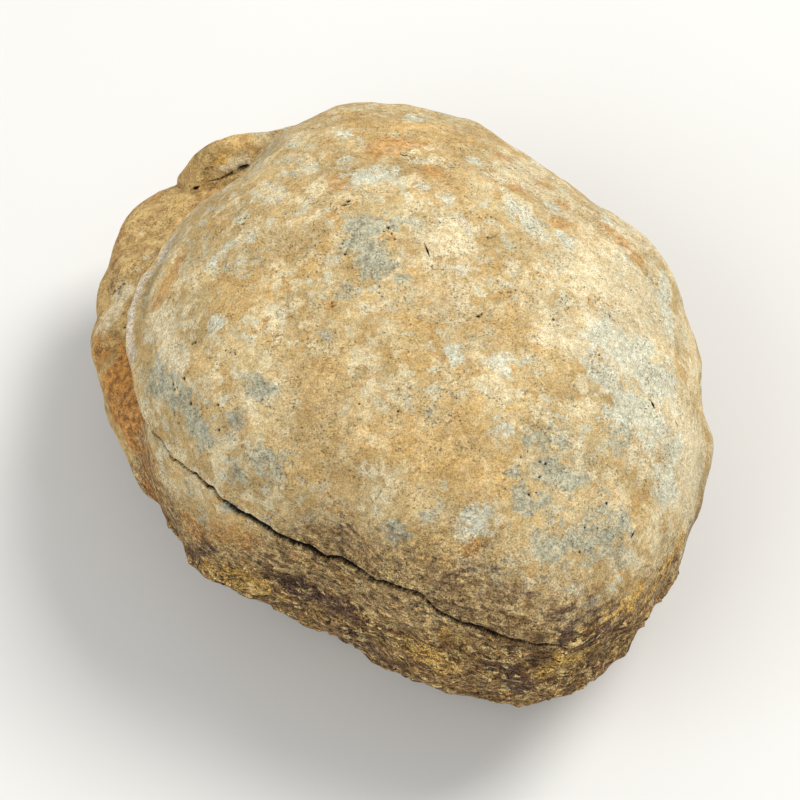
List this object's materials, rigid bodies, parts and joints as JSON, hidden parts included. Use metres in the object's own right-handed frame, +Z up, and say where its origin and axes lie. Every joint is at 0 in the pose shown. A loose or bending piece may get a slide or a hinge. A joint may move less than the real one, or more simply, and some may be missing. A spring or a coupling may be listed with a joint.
{
  "type": "fossil concretion",
  "caption": "Closed rounded fossil concretion: smooth pale dome with an overhanging lip above a brown ledge, a knob at the back left and an open crack round the front.",
  "frame": {"origin": "centre of the small worn flat that the stone lies on", "axes": "+Z up out of the flat towards the dome; the open crack faces -Y and the overhanging lip and ledge face -X"},
  "size_m": [0.0648, 0.0665, 0.0417],
  "materials": {
    "weathered_stone": "matte"
  },
  "bodies": {
    "root": {"concretion": "weathered_stone"}
  },
  "joints": []
}
